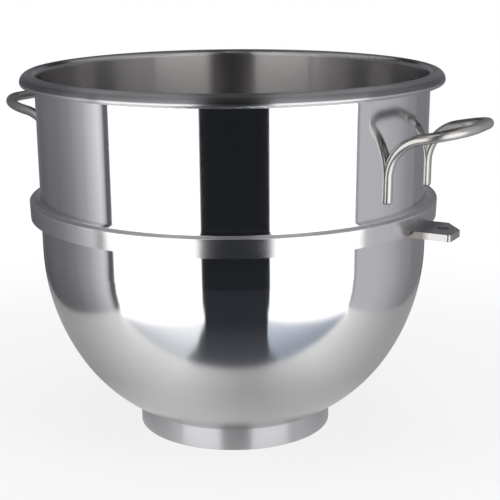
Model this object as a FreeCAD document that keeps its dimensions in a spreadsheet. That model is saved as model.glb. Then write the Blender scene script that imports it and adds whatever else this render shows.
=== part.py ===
import FreeCAD, Part
import math
import os
from types import SimpleNamespace

import Sketcher

# Large stand mixer bowl, in millimetres. The origin is the middle of the foot's lower face, +Z is up
# and the two handles point along +X and -X.

os.makedirs("parts", exist_ok=True)
doc = FreeCAD.newDocument("mixer_bowl")
V = FreeCAD.Vector

START, END, CENTRE = 1, 2, 3
ORIGIN, HORIZONTAL_AXIS, VERTICAL_AXIS = -1, -1, -2
HALF_TURN = 180.0

SIZES = {
    # Spun shell: each radius is that of the outer face, each height is stacked on the one before
    "sheet_thickness": 2.0,
    "base_height": 15.0,
    "base_knuckle_radius": 60.0,
    "base_knuckle_angle": 24.3,
    "lower_bowl_radius": 207.9,
    "lower_bowl_angle": 33.3,
    "upper_bowl_radius": 258.4,
    "wall_top_radius": 239.92,
    "wall_taper": 2.27,
    "wall_over_band": 142.6,
    # Rolled rim: each radius is that of the face turned towards the wall
    "lip_bend_radius": 5.0,
    "lip_bend_angle": 65.0,
    "rim_roll_radius": 9.0,
    "rim_hem_radius": 2.0,
    "rim_hem_angle": 110.0,
    "rim_flange_length": 5.0,
    # Support band
    "band_rise": 39.0,
    "band_thickness": 12.85,
    "band_face_height": 21.5,
    "band_face_flare": 0.9,
    "band_shoulder_height": 4.5,
    "band_edge_radius": 2.0,
    # Foot ring
    "foot_radius": 120.8,
    "foot_wall": 5.0,
    "foot_edge_chamfer": 0.8,
    # Rod handles
    "rod_diameter": 12.0,
    "rod_seat_depth": 6.0,
    "rod_end_chamfer": 2.0,
    "handle_width": 121.0,
    "leg_gap_over_band": 14.0,
    "leg_straight": 30.0,
    "leg_bend_radius": 47.0,
    "arm_rise_angle": 11.5,
    "arm_length": 50.5,
    "arm_corner_radius": 45.0,
    # Locating lugs: each reach is measured from the face of the support band
    "lug_thickness": 8.0,
    "lug_rise": 4.4,
    "lug_reach": 45.5,
    "lug_width": 61.0,
    "lug_nose_width": 31.5,
    "lug_chamfer_reach": 21.5,
    "lug_corner_radius": 4.0,
    "lug_hole_diameter": 13.0,
    "lug_hole_reach": 25.5,
}

# What follows from the sizes, in the order in which the cells need one another
FOLLOWING = {
    "wall_foot_radius": "=wall_top_radius - wall_taper",
    "wall_height": "=band_rise + band_face_height + band_shoulder_height + wall_over_band",
    "wall_angle": "=atan(wall_taper / wall_height) / 1 deg",
    "joint_angle": "=base_knuckle_angle + lower_bowl_angle",
    "wall_foot_height": "=base_height + base_knuckle_radius"
                        " + (lower_bowl_radius - base_knuckle_radius) * cos(base_knuckle_angle)"
                        " + (upper_bowl_radius - lower_bowl_radius) * cos(joint_angle)"
                        " - upper_bowl_radius * sin(wall_angle)",
    "band_bottom_height": "=wall_foot_height + band_rise",
    "band_top_height": "=band_bottom_height + band_face_height + band_shoulder_height",
    "band_bottom_radius": "=wall_foot_radius + band_thickness",
    "band_blank_radius": "=wall_foot_radius - band_thickness",
    "wall_top_height": "=wall_foot_height + wall_height",
    "foot_blank_height": "=base_height + base_knuckle_radius",
    "leg_offset": "=handle_width / 2",
    "leg_stand_off": "=rod_diameter / 2 - rod_seat_depth",
    "leg_bottom_height": "=band_top_height + leg_gap_over_band",
    "leg_bend_height": "=leg_bottom_height + leg_straight",
    "leg_bottom_radius": "=leg_stand_off + wall_foot_radius"
                         " + wall_taper * (leg_bottom_height - wall_foot_height) / wall_height",
    "leg_bend_out_radius": "=leg_stand_off + wall_foot_radius"
                           " + wall_taper * (leg_bend_height - wall_foot_height) / wall_height",
    "leg_bottom_reach": "=sqrt(leg_bottom_radius^2 - leg_offset^2)",
    "leg_bend_reach": "=sqrt(leg_bend_out_radius^2 - leg_offset^2)",
    "leg_lean_angle": "=atan((leg_bend_reach - leg_bottom_reach) / leg_straight) / 1 deg",
    "arm_start_reach": "=leg_bend_reach + leg_bend_radius * (cos(leg_lean_angle) - sin(arm_rise_angle))",
    "arm_start_height": "=leg_bend_height + leg_bend_radius * (cos(arm_rise_angle) - sin(leg_lean_angle))",
    "arm_fall_from_upright": "=90 - arm_rise_angle",
    "lug_bottom_height": "=band_bottom_height + lug_rise - lug_thickness",
    "lug_nose_reach": "=band_bottom_radius + lug_reach",
    "lug_side_reach": "=band_bottom_radius + lug_chamfer_reach",
    "lug_hole_place": "=band_bottom_radius + lug_hole_reach",
    "lug_blank_reach": "=wall_foot_radius - lug_width / 2",
}

sheet = doc.addObject("Spreadsheet::Sheet", "Sizes")
for row, (name, content) in enumerate({**SIZES, **FOLLOWING}.items(), start=1):
    sheet.set(f"A{row}", name)
    sheet.set(f"B{row}", str(content))
    sheet.setAlias(f"B{row}", name)
doc.recompute()
size = SimpleNamespace(**{name: float(getattr(sheet, name)) for name in {**SIZES, **FOLLOWING}})


# Helpers for bodies, sketches and features

def new_body(label):
    body = doc.addObject("PartDesign::Body", label)
    body.Label = label
    return body


def origin_plane(body, role):
    return next(item for item in body.Origin.OriginFeatures if item.Role == role)


def new_sketch(body, name, role, **offsets):
    """Sketch on an origin plane of its body, moved by the named cells."""
    sketch = body.newObject("Sketcher::SketchObject", name)
    sketch.AttachmentSupport = [(origin_plane(body, role), "")]
    sketch.MapMode = "FlatFace"
    for direction, expression in offsets.items():
        sketch.setExpression(f"AttachmentOffset.Base.{direction}", expression)
    return sketch


def tilt(sketch, axis, cell):
    """Turn a sketch about an axis by the angle in a cell."""
    base = sketch.AttachmentOffset.Base
    sketch.AttachmentOffset = FreeCAD.Placement(base, FreeCAD.Rotation(axis, getattr(size, cell)))
    sketch.setExpression("AttachmentOffset.Rotation.Angle", f"Sizes.{cell} * 1 deg")


def add_line(sketch, start, end):
    return sketch.addGeometry(Part.LineSegment(V(*start, 0), V(*end, 0)), False)


def add_arc(sketch, centre, radius, start_angle, end_angle):
    circle = Part.Circle(V(*centre, 0), V(0, 0, 1), radius)
    return sketch.addGeometry(Part.ArcOfCircle(circle, start_angle, end_angle), False)


def rule(sketch, *terms):
    return sketch.addConstraint(Sketcher.Constraint(*terms))


def drive(sketch, name, cell, *terms):
    """Dimension whose value comes from a cell of the sheet."""
    value = getattr(size, cell)
    if terms[0] == "Angle":
        value = math.radians(value)
    index = rule(sketch, *terms, value)
    sketch.renameConstraint(index, name)
    sketch.setExpression(f"Constraints.{name}", f"Sizes.{cell}")


def join(sketch, *curves):
    """Close a run of lines end to start."""
    for first, second in zip(curves, curves[1:] + curves[:1]):
        rule(sketch, "Coincident", first, END, second, START)


def polar(centre, radius, angle):
    return (centre[0] + radius * math.cos(angle), centre[1] + radius * math.sin(angle))


def revolve(body, sketch, name):
    turned = body.newObject("PartDesign::Revolution", name)
    turned.Profile = sketch
    turned.ReferenceAxis = (sketch, ["V_Axis"])
    turned.Angle = 360.0
    sketch.Visibility = False
    return turned


def sweep(body, profile, spine, name):
    pipe = body.newObject("PartDesign::AdditivePipe", name)
    pipe.Profile = profile
    pipe.Spine = spine
    return pipe


def edges_where(shape, test):
    return [f"Edge{number}" for number, edge in enumerate(shape.Edges, start=1) if test(edge)]


def cut(label, blank, tool):
    piece = doc.addObject("Part::Cut", label)
    piece.Label = label
    piece.Base = blank
    piece.Tool = tool
    return piece


# One side of the bowl's sheet, from the axis up to the top of the straight wall

wall_angle = math.radians(size.wall_angle)
knuckle_end = math.radians(size.base_knuckle_angle) - math.pi / 2
joint_end = math.radians(size.joint_angle) - math.pi / 2


def bowl_centres():
    """Centres of the knuckle and of the two long arcs of the bowl."""
    knuckle = (0.0, size.base_height + size.base_knuckle_radius)
    lower = polar(knuckle, size.base_knuckle_radius - size.lower_bowl_radius, knuckle_end)
    upper = polar(lower, size.lower_bowl_radius - size.upper_bowl_radius, joint_end)
    shift = size.wall_foot_radius - polar(upper, size.upper_bowl_radius, -wall_angle)[0]
    return [(centre[0] + shift, centre[1]) for centre in (knuckle, lower, upper)]


knuckle_centre, lower_centre, upper_centre = bowl_centres()


def add_bowl_side(sketch, inset):
    knuckle_radius = size.base_knuckle_radius - inset
    lower_radius = size.lower_bowl_radius - inset
    upper_radius = size.upper_bowl_radius - inset
    base = size.base_height + inset
    wall_foot = polar(upper_centre, upper_radius, -wall_angle)
    wall_top = polar((size.wall_top_radius, size.wall_top_height), -inset, -wall_angle)
    side = SimpleNamespace(
        flat=add_line(sketch, (0.0, base), (knuckle_centre[0], base)),
        knuckle=add_arc(sketch, knuckle_centre, knuckle_radius, -math.pi / 2, knuckle_end),
        lower=add_arc(sketch, lower_centre, lower_radius, knuckle_end, joint_end),
        upper=add_arc(sketch, upper_centre, upper_radius, joint_end, -wall_angle),
        wall=add_line(sketch, wall_foot, wall_top),
    )
    rule(sketch, "PointOnObject", side.flat, START, VERTICAL_AXIS)
    rule(sketch, "Horizontal", side.flat)
    rule(sketch, "Tangent", side.flat, END, side.knuckle, START)
    rule(sketch, "Tangent", side.knuckle, END, side.lower, START)
    rule(sketch, "Tangent", side.lower, END, side.upper, START)
    rule(sketch, "Tangent", side.upper, END, side.wall, START)
    return side


def size_bowl_side(sketch, side):
    drive(sketch, "base_height", "base_height", "DistanceY", ORIGIN, START, side.flat, START)
    drive(sketch, "knuckle_radius", "base_knuckle_radius", "Radius", side.knuckle)
    drive(sketch, "knuckle_angle", "base_knuckle_angle", "Angle", side.knuckle)
    drive(sketch, "lower_radius", "lower_bowl_radius", "Radius", side.lower)
    drive(sketch, "lower_angle", "lower_bowl_angle", "Angle", side.lower)
    drive(sketch, "upper_radius", "upper_bowl_radius", "Radius", side.upper)
    drive(sketch, "wall_top_radius", "wall_top_radius", "DistanceX", ORIGIN, START, side.wall, END)
    drive(sketch, "wall_taper", "wall_taper", "DistanceX", side.wall, START, side.wall, END)
    drive(sketch, "wall_height", "wall_height", "DistanceY", side.wall, START, side.wall, END)


# Solid inside the bowl's outer face: it isn't a piece, but shapes what is welded to the shell

outer_form = new_body("outer_form")
form_sketch = new_sketch(outer_form, "form_outline", "XZ_Plane")
form_side = add_bowl_side(form_sketch, 0.0)
size_bowl_side(form_sketch, form_side)
form_top = add_line(form_sketch, (size.wall_top_radius, size.wall_top_height), (0.0, size.wall_top_height))
form_axis = add_line(form_sketch, (0.0, size.wall_top_height), (0.0, size.base_height))
rule(form_sketch, "Horizontal", form_top)
rule(form_sketch, "Vertical", form_axis)
rule(form_sketch, "Coincident", form_side.wall, END, form_top, START)
rule(form_sketch, "Coincident", form_top, END, form_axis, START)
rule(form_sketch, "Coincident", form_axis, END, form_side.flat, START)
revolve(outer_form, form_sketch, "form_turned")


# Spun shell with its rolled rim, one sheet from the base to the edge of the hem

LIP_START = math.pi - wall_angle
LIP_END = LIP_START - math.radians(size.lip_bend_angle)
HEM_END = -math.radians(size.rim_hem_angle)
FLANGE_DIRECTION = HEM_END - math.pi / 2
lip_centre = polar((size.wall_top_radius, size.wall_top_height), size.lip_bend_radius, -wall_angle)
roll_centre = polar(lip_centre, size.lip_bend_radius - size.rim_roll_radius, LIP_END)
hem_centre = polar(roll_centre, size.rim_roll_radius - size.rim_hem_radius, 0.0)


def add_rim_side(sketch, wall, outset):
    flange_start = polar(hem_centre, size.rim_hem_radius + outset, HEM_END)
    flange_end = polar(flange_start, size.rim_flange_length, FLANGE_DIRECTION)
    side = SimpleNamespace(
        lip=add_arc(sketch, lip_centre, size.lip_bend_radius + outset, LIP_END, LIP_START),
        roll=add_arc(sketch, roll_centre, size.rim_roll_radius + outset, 0.0, LIP_END),
        hem=add_arc(sketch, hem_centre, size.rim_hem_radius + outset, HEM_END, 0.0),
        flange=add_line(sketch, flange_start, flange_end),
    )
    rule(sketch, "Tangent", wall, END, side.lip, END)
    rule(sketch, "Tangent", side.lip, START, side.roll, END)
    rule(sketch, "Tangent", side.roll, START, side.hem, END)
    rule(sketch, "Tangent", side.hem, START, side.flange, START)
    return side


bowl_shell = new_body("bowl_shell")
shell_sketch = new_sketch(bowl_shell, "sheet_outline", "XZ_Plane")
outside = add_bowl_side(shell_sketch, 0.0)
inside = add_bowl_side(shell_sketch, size.sheet_thickness)
size_bowl_side(shell_sketch, outside)
rim_under = add_rim_side(shell_sketch, outside.wall, 0.0)
rim_over = add_rim_side(shell_sketch, inside.wall, size.sheet_thickness)
for arc in ("knuckle", "lower", "upper"):
    rule(shell_sketch, "Coincident", getattr(outside, arc), CENTRE, getattr(inside, arc), CENTRE)
for arc in ("lip", "roll", "hem"):
    rule(shell_sketch, "Coincident", getattr(rim_under, arc), CENTRE, getattr(rim_over, arc), CENTRE)
rule(shell_sketch, "Parallel", outside.wall, inside.wall)
rule(shell_sketch, "Horizontal", rim_under.roll, CENTRE, rim_under.roll, START)
drive(shell_sketch, "thickness", "sheet_thickness", "DistanceY", outside.flat, START, inside.flat, START)
drive(shell_sketch, "lip_radius", "lip_bend_radius", "Radius", rim_under.lip)
drive(shell_sketch, "lip_angle", "lip_bend_angle", "Angle", rim_under.lip)
drive(shell_sketch, "roll_radius", "rim_roll_radius", "Radius", rim_under.roll)
drive(shell_sketch, "hem_radius", "rim_hem_radius", "Radius", rim_under.hem)
drive(shell_sketch, "hem_angle", "rim_hem_angle", "Angle", rim_under.hem)
drive(shell_sketch, "flange_length", "rim_flange_length", "Distance", rim_under.flange)
flange_start = polar(hem_centre, size.rim_hem_radius, HEM_END)
edge_start = polar(flange_start, size.rim_flange_length, FLANGE_DIRECTION)
edge = add_line(shell_sketch, edge_start, polar(edge_start, size.sheet_thickness, HEM_END))
rule(shell_sketch, "Coincident", rim_under.flange, END, edge, START)
rule(shell_sketch, "Coincident", rim_over.flange, END, edge, END)
rule(shell_sketch, "Parallel", rim_under.flange, rim_over.flange)
rule(shell_sketch, "Perpendicular", rim_under.flange, edge)
middle = add_line(shell_sketch, (0.0, size.base_height), (0.0, size.base_height + size.sheet_thickness))
rule(shell_sketch, "Coincident", outside.flat, START, middle, START)
rule(shell_sketch, "Coincident", inside.flat, START, middle, END)
revolve(bowl_shell, shell_sketch, "spun_sheet")


# Support band: a turned ring, cut to the shell's outer face

band_blank = new_body("band_blank")
band_sketch = new_sketch(band_blank, "band_outline", "XZ_Plane")
band_corners = [
    (size.band_blank_radius, size.band_bottom_height),
    (size.band_bottom_radius, size.band_bottom_height),
    (size.band_bottom_radius + size.band_face_flare, size.band_bottom_height + size.band_face_height),
    (size.wall_foot_radius, size.band_top_height),
    (size.band_blank_radius, size.band_top_height),
]
band_lines = [add_line(band_sketch, start, end)
              for start, end in zip(band_corners, band_corners[1:] + band_corners[:1])]
band_under, band_face, band_shoulder, band_top, band_inner = band_lines
join(band_sketch, *band_lines)
rule(band_sketch, "Horizontal", band_under)
rule(band_sketch, "Horizontal", band_top)
rule(band_sketch, "Vertical", band_inner)
drive(band_sketch, "under_height", "band_bottom_height", "DistanceY", ORIGIN, START, band_under, START)
drive(band_sketch, "blank_radius", "band_blank_radius", "DistanceX", ORIGIN, START, band_under, START)
drive(band_sketch, "under_radius", "band_bottom_radius", "DistanceX", ORIGIN, START, band_under, END)
drive(band_sketch, "face_height", "band_face_height", "DistanceY", band_face, START, band_face, END)
drive(band_sketch, "face_flare", "band_face_flare", "DistanceX", band_face, START, band_face, END)
drive(band_sketch, "shoulder", "band_shoulder_height", "DistanceY", band_shoulder, START, band_shoulder, END)
drive(band_sketch, "shoulder_end", "wall_foot_radius", "DistanceX", ORIGIN, START, band_shoulder, END)
band_turned = revolve(band_blank, band_sketch, "band_turned")
doc.recompute()


def on_band_edge(edge):
    middle_point = edge.valueAt(edge.FirstParameter)
    radius = math.hypot(middle_point.x, middle_point.y)
    height = size.band_bottom_height + size.band_face_height
    on_ring = math.isclose(radius, size.band_bottom_radius + size.band_face_flare, abs_tol=0.01)
    return on_ring and math.isclose(middle_point.z, height, abs_tol=0.01) and edge.Closed


band_rounded = band_blank.newObject("PartDesign::Fillet", "band_rounded")
band_rounded.Base = (band_turned, edges_where(band_turned.Shape, on_band_edge))
band_rounded.setExpression("Radius", "Sizes.band_edge_radius")
support_band = cut("support_band", band_blank, outer_form)


# Foot ring: a tube that stands on the floor, cut to the underside of the shell

foot_blank = new_body("foot_blank")
foot_sketch = new_sketch(foot_blank, "foot_outline", "XY_Plane")
foot_outer = foot_sketch.addGeometry(Part.Circle(V(0, 0, 0), V(0, 0, 1), size.foot_radius), False)
foot_inner = foot_sketch.addGeometry(
    Part.Circle(V(0, 0, 0), V(0, 0, 1), size.foot_radius - size.foot_wall), False)
rule(foot_sketch, "Coincident", foot_outer, CENTRE, ORIGIN, START)
rule(foot_sketch, "Coincident", foot_inner, CENTRE, ORIGIN, START)
drive(foot_sketch, "outer_radius", "foot_radius", "Radius", foot_outer)
inner_radius = rule(foot_sketch, "Radius", foot_inner, size.foot_radius - size.foot_wall)
foot_sketch.renameConstraint(inner_radius, "inner_radius")
foot_sketch.setExpression("Constraints.inner_radius", "Sizes.foot_radius - Sizes.foot_wall")
foot_tube = foot_blank.newObject("PartDesign::Pad", "foot_tube")
foot_tube.Profile = foot_sketch
foot_tube.setExpression("Length", "Sizes.foot_blank_height")
doc.recompute()


def on_floor(edge):
    return math.isclose(edge.BoundBox.ZMax, 0.0, abs_tol=0.01)


foot_edges = foot_blank.newObject("PartDesign::Chamfer", "foot_edges")
foot_edges.Base = (foot_tube, edges_where(foot_tube.Shape, on_floor))
foot_edges.setExpression("Size", "Sizes.foot_edge_chamfer")
foot_ring = cut("foot_ring", foot_blank, outer_form)


# Rod handles: each is one bent rod, and its legs are cut to the wall that they are welded to

def add_rod_profile(body, name, reach, side, height, angle):
    sketch = new_sketch(body, name, "XY_Plane", x=reach, y=side, z=height)
    tilt(sketch, V(0, 1, 0), angle)
    rod = sketch.addGeometry(Part.Circle(V(0, 0, 0), V(0, 0, 1), size.rod_diameter / 2), False)
    rule(sketch, "Coincident", rod, CENTRE, ORIGIN, START)
    drive(sketch, "diameter", "rod_diameter", "Diameter", rod)
    return sketch


def add_leg_path(body):
    """Straight leg along the wall and the bend that turns it into the arm, seen from the side."""
    lean = math.radians(size.leg_lean_angle)
    rise = math.radians(size.arm_rise_angle)
    leg_foot = (size.leg_bottom_reach, size.leg_bottom_height)
    leg_top = (size.leg_bend_reach, size.leg_bend_height)
    bend_centre = polar(leg_top, size.leg_bend_radius, -lean)
    sketch = new_sketch(body, "leg_path", "XZ_Plane", z="-Sizes.leg_offset")
    leg = add_line(sketch, leg_foot, leg_top)
    bend = add_arc(sketch, bend_centre, size.leg_bend_radius, math.pi / 2 + rise, math.pi - lean)
    rule(sketch, "Tangent", leg, END, bend, END)
    drive(sketch, "foot_reach", "leg_bottom_reach", "DistanceX", ORIGIN, START, leg, START)
    drive(sketch, "foot_height", "leg_bottom_height", "DistanceY", ORIGIN, START, leg, START)
    drive(sketch, "top_reach", "leg_bend_reach", "DistanceX", ORIGIN, START, leg, END)
    drive(sketch, "top_height", "leg_bend_height", "DistanceY", ORIGIN, START, leg, END)
    drive(sketch, "bend_radius", "leg_bend_radius", "Radius", bend)
    drive(sketch, "arm_height", "arm_start_height", "DistanceY", ORIGIN, START, bend, START)
    return sketch


def add_grip_path(body):
    """Both arms and the bar between them, in the plane that rises outwards."""
    straight = size.arm_length - size.arm_corner_radius
    half_bar = size.leg_offset - size.arm_corner_radius
    sketch = new_sketch(body, "grip_path", "XY_Plane", x="Sizes.arm_start_reach", z="Sizes.arm_start_height")
    tilt(sketch, V(0, -1, 0), "arm_rise_angle")
    near_arm = add_line(sketch, (0.0, -size.leg_offset), (straight, -size.leg_offset))
    near_corner = add_arc(sketch, (straight, -half_bar), size.arm_corner_radius, -math.pi / 2, 0.0)
    bar = add_line(sketch, (size.arm_length, -half_bar), (size.arm_length, half_bar))
    far_corner = add_arc(sketch, (straight, half_bar), size.arm_corner_radius, 0.0, math.pi / 2)
    far_arm = add_line(sketch, (straight, size.leg_offset), (0.0, size.leg_offset))
    rule(sketch, "Horizontal", near_arm)
    rule(sketch, "Vertical", bar)
    rule(sketch, "Horizontal", far_arm)
    rule(sketch, "Tangent", near_arm, END, near_corner, START)
    rule(sketch, "Tangent", near_corner, END, bar, START)
    rule(sketch, "Tangent", bar, END, far_corner, START)
    rule(sketch, "Tangent", far_corner, END, far_arm, START)
    rule(sketch, "PointOnObject", near_arm, START, VERTICAL_AXIS)
    rule(sketch, "PointOnObject", far_arm, END, VERTICAL_AXIS)
    rule(sketch, "Equal", near_corner, far_corner)
    drive(sketch, "near_offset", "leg_offset", "DistanceY", near_arm, START, ORIGIN, START)
    drive(sketch, "far_offset", "leg_offset", "DistanceY", ORIGIN, START, far_arm, END)
    drive(sketch, "length", "arm_length", "DistanceX", ORIGIN, START, bar, START)
    drive(sketch, "corner_radius", "arm_corner_radius", "Radius", near_corner)
    return sketch


def add_handle(label, turn):
    blank = new_body(f"{label}_blank")
    leg_profile = add_rod_profile(blank, "leg_section", "Sizes.leg_bottom_reach", "Sizes.leg_offset",
                                  "Sizes.leg_bottom_height", "leg_lean_angle")
    leg = sweep(blank, leg_profile, add_leg_path(blank), "leg")
    doc.recompute()

    def at_leg_foot(edge):
        return edge.BoundBox.ZMax < size.leg_bottom_height + size.rod_diameter / 2 and edge.Closed

    leg_end = blank.newObject("PartDesign::Chamfer", "leg_end")
    leg_end.Base = (leg, edges_where(leg.Shape, at_leg_foot))
    leg_end.setExpression("Size", "Sizes.rod_end_chamfer")
    both_legs = blank.newObject("PartDesign::Mirrored", "both_legs")
    both_legs.Originals = [leg, leg_end]
    both_legs.MirrorPlane = (origin_plane(blank, "XZ_Plane"), [""])
    blank.Tip = both_legs
    doc.recompute()
    grip_profile = add_rod_profile(blank, "grip_section", "Sizes.arm_start_reach", "-Sizes.leg_offset",
                                   "Sizes.arm_start_height", "arm_fall_from_upright")
    sweep(blank, grip_profile, add_grip_path(blank), "grip")
    blank.Placement = FreeCAD.Placement(V(0, 0, 0), FreeCAD.Rotation(V(0, 0, 1), turn))
    return cut(label, blank, outer_form)


handle_a = add_handle("handle_a", 0.0)
handle_b = add_handle("handle_b", HALF_TURN)


# Locating lugs: flat plates that lie under the band, with a shoulder against its face

lug_seat = doc.addObject("Part::Fuse", "lug_seat")
lug_seat.Base = outer_form
lug_seat.Tool = support_band


def add_lug(label, turn):
    blank = new_body(f"{label}_blank")
    half_width = size.lug_width / 2
    corners = [
        (size.lug_blank_reach, -half_width),
        (size.lug_nose_reach, -half_width),
        (size.lug_nose_reach, size.lug_nose_width - half_width),
        (size.lug_side_reach, half_width),
        (size.lug_blank_reach, half_width),
    ]
    sketch = new_sketch(blank, "lug_outline", "XY_Plane", z="Sizes.lug_bottom_height")
    lines = [add_line(sketch, start, end) for start, end in zip(corners, corners[1:] + corners[:1])]
    near_side, nose, slope, far_side, root = lines
    join(sketch, *lines)
    rule(sketch, "Horizontal", near_side)
    rule(sketch, "Horizontal", far_side)
    rule(sketch, "Vertical", nose)
    rule(sketch, "Symmetric", root, START, root, END, HORIZONTAL_AXIS)
    drive(sketch, "width", "lug_width", "DistanceY", root, END, root, START)
    drive(sketch, "root_reach", "lug_blank_reach", "DistanceX", ORIGIN, START, root, END)
    drive(sketch, "nose_reach", "lug_nose_reach", "DistanceX", ORIGIN, START, nose, START)
    drive(sketch, "nose_width", "lug_nose_width", "DistanceY", nose, START, nose, END)
    drive(sketch, "side_reach", "lug_side_reach", "DistanceX", ORIGIN, START, slope, END)
    plate = blank.newObject("PartDesign::Pad", "plate")
    plate.Profile = sketch
    plate.setExpression("Length", "Sizes.lug_thickness")
    doc.recompute()

    def at_nose_corner(edge):
        box = edge.BoundBox
        upright = box.ZLength > size.lug_thickness / 2
        at_nose = math.isclose(box.XMin, size.lug_nose_reach, abs_tol=0.01)
        return upright and at_nose and math.isclose(box.YMin, -half_width, abs_tol=0.01)

    nose_corner = blank.newObject("PartDesign::Fillet", "nose_corner")
    nose_corner.Base = (plate, edges_where(plate.Shape, at_nose_corner))
    nose_corner.setExpression("Radius", "Sizes.lug_corner_radius")
    hole_sketch = new_sketch(blank, "pin_hole_outline", "XY_Plane", z="Sizes.lug_bottom_height")
    hole = hole_sketch.addGeometry(
        Part.Circle(V(size.lug_hole_place, 0, 0), V(0, 0, 1), size.lug_hole_diameter / 2), False)
    rule(hole_sketch, "PointOnObject", hole, CENTRE, HORIZONTAL_AXIS)
    drive(hole_sketch, "reach", "lug_hole_place", "DistanceX", ORIGIN, START, hole, CENTRE)
    drive(hole_sketch, "diameter", "lug_hole_diameter", "Diameter", hole)
    pin_hole = blank.newObject("PartDesign::Pocket", "pin_hole")
    pin_hole.Profile = hole_sketch
    pin_hole.Reversed = True
    pin_hole.setExpression("Length", "Sizes.lug_thickness")
    blank.Placement = FreeCAD.Placement(V(0, 0, 0), FreeCAD.Rotation(V(0, 0, 1), turn))
    doc.recompute()
    return cut(label, blank, lug_seat)


locating_lug_a = add_lug("locating_lug_a", 0.0)
locating_lug_b = add_lug("locating_lug_b", HALF_TURN)
doc.recompute()


# Check every object, then write one file for each piece

for item in doc.Objects:
    assert "Invalid" not in item.State and "Error" not in item.State, f"{item.Label}: {item.State}"
    if item.TypeId == "Sketcher::SketchObject":
        assert item.solve() == 0 and item.FullyConstrained, f"{item.Label} isn't fully constrained"

for piece in (bowl_shell, support_band, foot_ring, handle_a, handle_b, locating_lug_a, locating_lug_b):
    shape = piece.Shape
    assert not shape.isNull() and shape.isValid() and len(shape.Solids) == 1, piece.Label
    shape.exportStep(f"parts/{piece.Label}.step")
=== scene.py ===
"""Stand mixer bowl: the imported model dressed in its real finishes, on a pale studio floor."""

import math

import bpy
from bpy.props import FloatProperty, PointerProperty, StringProperty
from mathutils import Matrix, Vector

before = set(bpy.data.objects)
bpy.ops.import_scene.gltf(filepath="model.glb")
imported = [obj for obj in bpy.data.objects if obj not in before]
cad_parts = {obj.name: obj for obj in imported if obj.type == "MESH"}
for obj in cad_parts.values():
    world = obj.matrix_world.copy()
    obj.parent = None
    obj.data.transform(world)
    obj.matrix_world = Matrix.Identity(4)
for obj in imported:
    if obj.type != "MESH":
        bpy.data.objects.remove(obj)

bl_info = {
    "name": "Stand mixer bowl",
    "version": (1, 0, 0),
    "blender": (4, 5, 0),
    "location": "3D View > Sidebar > Mixer bowl",
    "description": "Finishes a spun steel mixer bowl and sets it on a studio floor",
    "category": "Object",
}

MM = 0.001

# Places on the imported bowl, in metres, where its finish changes.
WALL_RADIUS = 0.24
# The belly turns from satin to mirror between these two heights.
BELLY_SATIN, BELLY_MIRROR = 0.06, 0.2
# A face under this height that looks up belongs to the bottom, and over it to the rim.
BOTTOM_BELOW = 0.4
RIM_FROM, RIM_FULL = 0.4325, 0.4395
WALL_TOP = 0.4342
# How far a face leans: out less than the first it is inside, and up more than the second it may be
# the bottom. Down between the next two it turns into the rim's tucked edge.
INSIDE_UNDER, BOTTOM_OVER = -0.35, 0.3
TUCKED_FROM, TUCKED_FULL = -0.25, -0.45
# The rim's outermost line: its middle, half its height, the radius outside which it lies, and how
# far the surface tips down under it and up over it.
RIM_LINE, RIM_LINE_HALF, RIM_LINE_RADIUS, RIM_LINE_TIP = 0.4384, 0.0012, 0.2565, 0.17
# The band's sloped shoulder is ground from the first height on, and its weld starts at the second.
BAND_SHOULDER = (0.2948, 0.2966)
# Half the height over which one finish of the band runs into the next.
BAND_BLEND = 0.4 * MM
# The painted shade at the lugs' roots fades out between these two distances from the bowl's middle
# plane.
ROOT_SHADE_FADES, ROOT_SHADE_ENDS = 0.262, 0.271

# Lengths of the hairlines round the bowl, in metres, on its sheet and on its bars.
SHEET_HAIRLINE, BAR_HAIRLINE = 0.6, 0.5
# What a noise mostly lies between, and the share by which it changes each kind of polish.
NOISE_LOW, NOISE_HIGH = 0.3, 0.7
SHEET_MARKS, BAR_MARKS, SCUFF_MARKS = 0.02, 0.06, 0.08

# Where the camera stands, in metres, and the way it looks. The small roll is the photograph's.
CAMERA_PLACE = Vector((0.77876, -1.39916, 0.62028))
CAMERA_LOOK = Vector((-0.46669, 0.85069, -0.24196))
CAMERA_ROLL = math.radians(-0.397)
CAMERA_PLAN_TURN = math.radians(29.1)
CAMERA_SENSOR, CAMERA_LENS = 36.0, 94.18
CAMERA_SHIFT = (0.0166, -0.0012)

# The studio is laid out in metres to the camera's right, away from the camera, and up. Its origin
# is the bowl's foot, and it turns with the camera's place in plan.
TABLE_EDGE = 0.283
TABLE_EDGE_FADE = 0.004
TABLE_HALF_WIDTH = 0.49
TABLE_HEIGHT = 0.75
ROOM_RADIUS = 3.2
CEILING_HEIGHT = 2.6
# How many corners stand in for a circle.
DISC_CORNERS, TUBE_CORNERS = 96, 128
# The floor's pale sides lie this far over its dark strip.
PALE_FLOOR_LIFT = 0.01
ROOF_PANEL_HEIGHT = 2.5
TOP_LIGHT_PLACE = (0.0, -0.66, 0.0)
TOP_LIGHT_RADIUS, TOP_LIGHT_HEIGHT, TOP_LIGHT_STRENGTH = 0.2, 2.55, 1.5
# Depths of the white panels' inner and outer ends, and how far out the outer ends stand.
PANEL_INNER_DEPTH, PANEL_OUTER_DEPTH, PANEL_OUTER_SIDE = -0.81, -0.42, 1.6
# Plan of a roof panel, as distances to the side and depths.
ROOF_PANEL_SIDES, ROOF_PANEL_DEPTHS = (0.45, 2.0), (-1.1, -2.4)
# How far towards the camera the cloth beside the table stands.
CLOTH_EDGE = 0.30
# Up to this height the cloth is darker where a side asks for it.
CLOTH_FOOT = 0.35

# Greys by height of the white panels, a little dimmer over the bowl.
PANEL_STOPS = ((-0.33, "FFFFFF"), (0.49, "FFFFFF"), (0.56, "F0F0F0"), (0.75, "F0F0F0"))
# Greys of the ceiling by its distance to either side.
CEILING_STOPS = ((0.0, "323234"), (0.5, "404042"), (1.2, "8E8E90"), (2.2, "AEAEB0"))
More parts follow.
